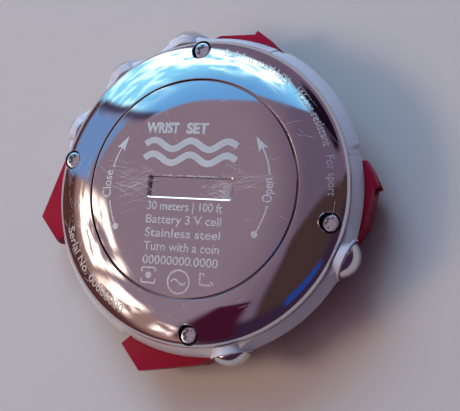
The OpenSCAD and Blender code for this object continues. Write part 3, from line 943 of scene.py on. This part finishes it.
def make_side_guard(name, middle, buttons, node):
    """A side guard with a collar and a bore for each of its buttons."""
    half = 64.3
    bm = guard_sweep(middle - half, middle + half, buttons)
    for turn in buttons:
        bm = carved(bm, collar(turn), "UNION")
    lip, flared, inside, beyond = COLLAR_OUT - 0.3, CAP_BORE_R + 0.4, 15, 26
    bore = ((0, inside), (SPRING_BORE_R, inside), (SPRING_BORE_R, CAP_BORE_FLOOR),
            (CAP_BORE_R, CAP_BORE_FLOOR), (CAP_BORE_R, lip), (flared, lip + 0.8), (flared, beyond),
            (0, beyond))
    cutter = gathered([bore] * len(buttons), [on_button(turn) for turn in buttons])
    guard = finished(carved(bm, cutter), name, CASE, WHITE, 32)
    softened(guard, 0.06, 3, 35)
    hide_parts(node)


def make_end_guard(name, middle, node):
    """An end guard, with pointed corners where it steps back over the lugs."""
    bm = guard_sweep(middle - 25.5, middle + 25.5, (), 0.2, 120)
    for v in bm.verts:
        across = v.co.x
        r = math.hypot(v.co.x, v.co.y)
        step = max(0.0, min(1.0, (abs(across) - 7.85) / 0.5))
        if r > CASE_R + 0.5:
            back = r - 0.3 * step * (r - CASE_R - 0.5) / 1.2
            v.co.x, v.co.y = v.co.x * back / r, v.co.y * back / r
    guard = finished(bm, name, CASE, WHITE, 32)
    softened(guard, 0.08, 2, 40)
    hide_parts(node)


# ---- buttons ----

def make_button(hour, turn):
    """A polished, domed cap on its stem."""
    seam = CAP_TIP - CAP_DOME + math.sqrt(CAP_DOME ** 2 - CAP_R ** 2)
    rise = math.degrees(math.asin(CAP_R / CAP_DOME))
    outline = [(0, STEM_IN), (NECK_R - 0.04, STEM_IN), (NECK_R, STEM_IN + 0.05), (NECK_R, NECK_OUT),
               (STEM_R, NECK_OUT), (STEM_R, CAP_BASE), (CAP_R - 0.08, CAP_BASE),
               (CAP_R, CAP_BASE + 0.06), (CAP_R, seam - 0.03)]
    outline += arc((0, CAP_TIP - CAP_DOME), CAP_DOME, 90 - rise + 1.2, 90, 28)
    bm = spun(outline, steps=96)
    bmesh.ops.transform(bm, matrix=on_button(turn), verts=bm.verts)
    body = f"push_button_{hour}_oclock"
    cap = finished(bm, f"push_cap_{hour}", body, CAP_STEEL, 30)
    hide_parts(f"button_{hour}_oclock")


# ---- the front, which lies on the table ----

def make_front():
    """The turned steel bezel and the lens in it."""
    outline = [(LENS_R - 0.5, 0.35), (LENS_R - 0.15, 0.02), (LENS_R - 0.05, 0), (BEZEL_R - 0.5, 0)]
    outline += arc((BEZEL_R - 0.5, 0.5), 0.5, -80, 0, 8)
    outline += [(BEZEL_R, 1.2), (LENS_R + 0.3, 1.2), (LENS_R + 0.3, 0.5), (LENS_R - 0.5, 0.5)]
    bezel = finished(spun(outline, closed=True), "turned_bezel", CASE, BEZEL_STEEL, 30)
    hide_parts("front_bezel")
    face, back = 0.5, 2.1
    glass = [(0, face), (LENS_R - 0.25, face), (LENS_R - 0.02, face + 0.2), (LENS_R, face + 0.25),
             (LENS_R, back), (0, back)]
    lens = finished(spun(glass), "lens_crystal", CASE, MATERIALS["lens_glass"], 30)
    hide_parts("lens")


def make_display_print():
    """Segments of a clock display on the front film, and minute marks on the dial ring."""
    lit = {"0": "abcdef", "1": "bc", "2": "abged", "8": "abcdefg", "7": "abc"}
    # each bar's place in a digit, and whether it lies flat
    segments = {"a": (0, 1, True), "b": (1, 0.5, False), "c": (1, -0.5, False), "d": (0, -1, True),
                "e": (-1, -0.5, False), "f": (-1, 0.5, False), "g": (0, 0, True)}
    bm = bmesh.new()
    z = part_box("lcd_polariser")[0].z / MM - 0.012

    def number(text, left, middle, height):
        """Digits of a height, read from the front, so x runs the other way."""
        for k, digit in enumerate(text):
            x = left + k * height * 0.66
            for name in lit[digit]:
                u, v, flat = segments[name]
                long_way, thick = height * 0.4, height * 0.085
                size = (long_way, thick) if flat else (thick, long_way)
                at = (-(x + u * height * 0.24), middle + v * height * 0.46, z)
                block(bm, (*size, PRINT_THICK), at)

    number("10", -7.6, 0.8, 6)
    number("28", 2.0, 0.8, 6)
    for y in (-0.2, 1.8):
        block(bm, (0.55, 0.55, PRINT_THICK), (0, y, z))
    number("128", -2.6, -5.9, 2.8)
    block(bm, (17, 0.16, PRINT_THICK), (0, -3.6, z))
    block(bm, (15, 0.16, PRINT_THICK), (0, 5.6, z))
    finished(bm, "display_segments", CASE, INK, 30)
    bm = bmesh.new()
    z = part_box("dial_ring")[0].z / MM - 0.012
    for k in range(60):
        long_way, thick = (0.75, 0.2) if k % 5 == 0 else (0.4, 0.1)
        r, turn = 13.15 - long_way / 2, math.radians(6 * k)
        at = (r * math.cos(turn), r * math.sin(turn), z)
        block(bm, (long_way, thick, PRINT_THICK), at, 6 * k)
    finished(bm, "minute_marks", CASE, PRINT, 30)


make_case_back()
# painted shade in the four screw counterbores
make_counterbore_shade()
make_battery_cover()
make_screws()
make_marks()
make_scratches()
make_red_case()
make_side_guard("side_guard_left", 0.0, [BUTTONS[hour] for hour in ("10", "8")], "guard_8_to_10_oclock")
make_side_guard("side_guard_right", 180.0, [BUTTONS[hour] for hour in ("2", "3", "4")],
                "guard_2_to_4_oclock")
make_end_guard("end_guard_top", 90.0, "guard_12_oclock")
make_end_guard("end_guard_bottom", 270.0, "guard_6_oclock")
for hour, turn in BUTTONS.items():
    make_button(hour, turn)
make_front()
make_display_print()


# ---- floor, light and camera ----

def make_floor():
    """A plain pale floor, 6 m across."""
    bm = bmesh.new()
    bmesh.ops.create_grid(bm, x_segments=1, y_segments=1, size=3000)
    bmesh.ops.scale(bm, vec=(MM,) * 3, verts=bm.verts)
    mesh = bpy.data.meshes.new("floor")
    bm.to_mesh(mesh)
    bm.free()
    floor = bpy.data.objects.new("floor", mesh)
    bpy.context.scene.collection.objects.link(floor)
    material, tree, bsdf = shader("pale_floor")
    mottle = placed(tree, MOTTLE, Slow=8.0, Fine=400.0)
    tinted(tree, mottle.outputs["Slow"], (0.60, 0.56, 0.54), (0.64, 0.60, 0.58),
           bsdf.inputs["Base Color"])
    bsdf.inputs["Roughness"].default_value = 0.6
    mesh.materials.append(material)


def make_light(name, azimuth, elevation, distance, size, power, colour):
    """A soft panel that shines on the watch from a direction. The steel doesn't mirror it."""
    data = bpy.data.lights.new(name, "AREA")
    data.shape = "RECTANGLE"
    data.size, data.size_y = size
    data.energy = power
    data.color = colour
    lamp = bpy.data.objects.new(name, data)
    bpy.context.scene.collection.objects.link(lamp)
    a, e = math.radians(azimuth), math.radians(elevation)
    away = Vector((math.cos(a) * math.cos(e), math.sin(a) * math.cos(e), math.sin(e)))
    lamp.location = away * distance
    lamp.rotation_euler = away.to_track_quat("Z", "Y").to_euler()
    lamp.visible_glossy = False


def make_surroundings():
    """A dim room at night: a mauve ceiling, a cool window on one side and warm lamps on another."""
    world = bpy.data.worlds.new("room")
    bpy.context.scene.world = world
    world.use_nodes = True
    tree = world.node_tree
    coords = tree.nodes.new("ShaderNodeTexCoord")
    split = tree.nodes.new("ShaderNodeSeparateXYZ")
    tree.links.new(coords.outputs["Generated"], split.inputs[0])
    x, y, z = split.outputs

    def along(azimuth):
        """How much a direction points towards an azimuth."""
        a = math.radians(azimuth)
        return math_node(tree, "ADD", math_node(tree, "MULTIPLY", x, math.cos(a)),
                         math_node(tree, "MULTIPLY", y, math.sin(a)))

    def smooth(value, low, high):
        """A mask that goes from 0 at low to 1 at high, which may be the smaller one."""
        node = tree.nodes.new("ShaderNodeMapRange")
        node.interpolation_type = "SMOOTHSTEP"
        tree.links.new(value, node.inputs["Value"])
        node.inputs["From Min"].default_value = low
        node.inputs["From Max"].default_value = high
        return node.outputs[0]

    def mixed(mask, below, colour):
        """A colour laid over another where the mask is 1."""
        node = tree.nodes.new("ShaderNodeMix")
        node.data_type = "RGBA"
        tree.links.new(mask, node.inputs["Factor"])
        for socket, value in (("A", below), ("B", colour)):
            if isinstance(value, bpy.types.NodeSocket):
                tree.links.new(value, node.inputs[socket])
            else:
                node.inputs[socket].default_value = (*value, 1)
        return node.outputs["Result"]

    def product(*masks):
        result = masks[0]
        for mask in masks[1:]:
            result = math_node(tree, "MULTIPLY", result, mask)
        return result

    def panel(azimuth, sides, heights, soft, slant=0.0):
        """A shape on a wall that faces an azimuth, as a mask. Both ranges are tangents."""
        depth = math_node(tree, "MAXIMUM", along(azimuth), 0.001)
        across = math_node(tree, "DIVIDE", along(azimuth + 90), depth)
        up = math_node(tree, "DIVIDE", z, depth)
        foot = math_node(tree, "ADD", up, math_node(tree, "MULTIPLY", across, slant))
        return product(smooth(across, sides[0] - soft, sides[0] + soft),
                       smooth(across, sides[1] + soft, sides[1] - soft),
                       smooth(foot, heights[0] - soft, heights[0] + soft),
                       smooth(up, heights[1] + soft, heights[1] - soft))

    patches = tree.nodes.new("ShaderNodeTexNoise")
    patches.inputs["Scale"].default_value = 9.0
    patches.inputs["Detail"].default_value = 3.0
    tree.links.new(coords.outputs["Generated"], patches.inputs["Vector"])
    broken = smooth(patches.outputs["Fac"], 0.36, 0.56)

    # the ceiling, lighter towards the lamps, and the walls
    colour = mixed(smooth(along(232), -0.15, 0.38), (0.165, 0.118, 0.185), (0.325, 0.235, 0.295))
    colour = mixed(smooth(z, 0.5, 0.28), colour, (0.19, 0.145, 0.23))
    # a dark figure that leans over the watch, darker lower down
    onlooker = product(smooth(along(-18), 0.0, 0.07), smooth(along(55), -0.02, 0.06))
    colour = mixed(onlooker, colour, (0.070, 0.040, 0.038))
    lower = product(smooth(along(-12), 0.3, 0.45), smooth(z, 0.8, 0.7))
    colour = mixed(lower, colour, (0.045, 0.022, 0.055))
    # the warm wall below the lamps, and its dark foot
    warm = product(smooth(along(252), 0.55, 0.72), smooth(z, 0.76, 0.58))
    colour = mixed(warm, colour, (0.40, 0.24, 0.21))
    foot = product(smooth(along(252), 0.45, 0.6), smooth(z, 0.46, 0.32))
    colour = mixed(foot, colour, (0.11, 0.04, 0.037))
    # two dark shapes, one of them a deep red
    colour = mixed(panel(105, (-0.35, 0.30), (0.55, 1.0), 0.07), colour, (0.012, 0.004, 0.014))
    colour = mixed(panel(302, (-0.27, 0.27), (0.6, 2.2), 0.08), colour, (0.066, 0.008, 0.026))
    # the window with its slanting foot, broken bright patches, a post and a dimmer second pane
    facing, slant = 168, 0.95
    window = panel(facing, (-1.35, 0.56), (0.22, 1.80), 0.04, slant)
    above = math_node(tree, "SUBTRACT", 1.0, panel(facing, (-3, 3), (0.72, 9), 0.10, slant))
    glow = product(panel(facing, (-0.66, 0.20), (0.20, 9), 0.10, slant), above, broken)
    sky = mixed(smooth(z, 0.88, 0.60), (0.17, 0.47, 0.95), (0.34, 0.98, 1.42))
    cloud = product(smooth(patches.outputs["Fac"], 0.44, 0.66), smooth(z, 0.80, 0.66))
    sky = mixed(cloud, sky, (1.1, 1.9, 2.2))
    colour = mixed(window, colour, mixed(glow, sky, (2.6, 3.2, 3.4)))
    colour = mixed(panel(facing, (0.54, 0.61), (0.22, 1.7), 0.025), colour, (0.07, 0.045, 0.10))
    colour = mixed(panel(facing, (0.62, 1.19), (0.15, 1.30), 0.05), colour, (0.20, 0.36, 0.70))
    # three warm lamps, and a small blue screen
    lamps = [((232, (-0.18, 0.19), (0.62, 1.34), 0.07), (6.0, 4.9, 4.0)),
             ((259, (-0.15, 0.12), (0.48, 1.02), 0.08), (3.6, 2.9, 2.5)),
             ((282, (-0.07, 0.07), (0.55, 0.85), 0.05), (2.4, 1.9, 1.8))]
    for place, light in lamps:
        colour = mixed(product(panel(*place), broken), colour, light)
    colour = mixed(panel(4, (-0.30, 0.30), (0.95, 1.22), 0.05), colour, (0.02, 0.065, 0.33))
    tree.links.new(colour, tree.nodes["Background"].inputs["Color"])
    tree.nodes["Background"].inputs["Strength"].default_value = 1.0


def make_camera():
    """A long lens, looking steeply down on the back."""
    right = Vector((0.5454061, 0.76371873, -0.34534895))
    up = Vector((-0.77013819, 0.61922789, 0.15311433))
    back = Vector((0.33078598, 0.18245693, 0.92589962))
    data = bpy.data.cameras.new("camera")
    data.sensor_width = 36
    data.lens = 79.02
    camera = bpy.data.objects.new("camera", data)
    bpy.context.scene.collection.objects.link(camera)
    aim = Vector((0, 0, 8.8))
    place = (back * 129.446 + right * 4.16 - up * 1.88 + aim) * MM
    turn = Matrix((right, up, back)).transposed().to_4x4()
    camera.matrix_world = Matrix.Translation(place) @ turn
    data.clip_start = 0.005
    bpy.context.scene.camera = camera


make_floor()
make_surroundings()
make_light("cool_window", 160, 36, 0.8, (0.5, 0.3), 3.2, (0.45, 0.68, 1.0))
make_light("warm_lamp", 240, 38, 0.7, (0.2, 0.14), 1.6, (1.0, 0.72, 0.5))
make_camera()
bpy.context.scene.view_settings.view_transform = "Standard"
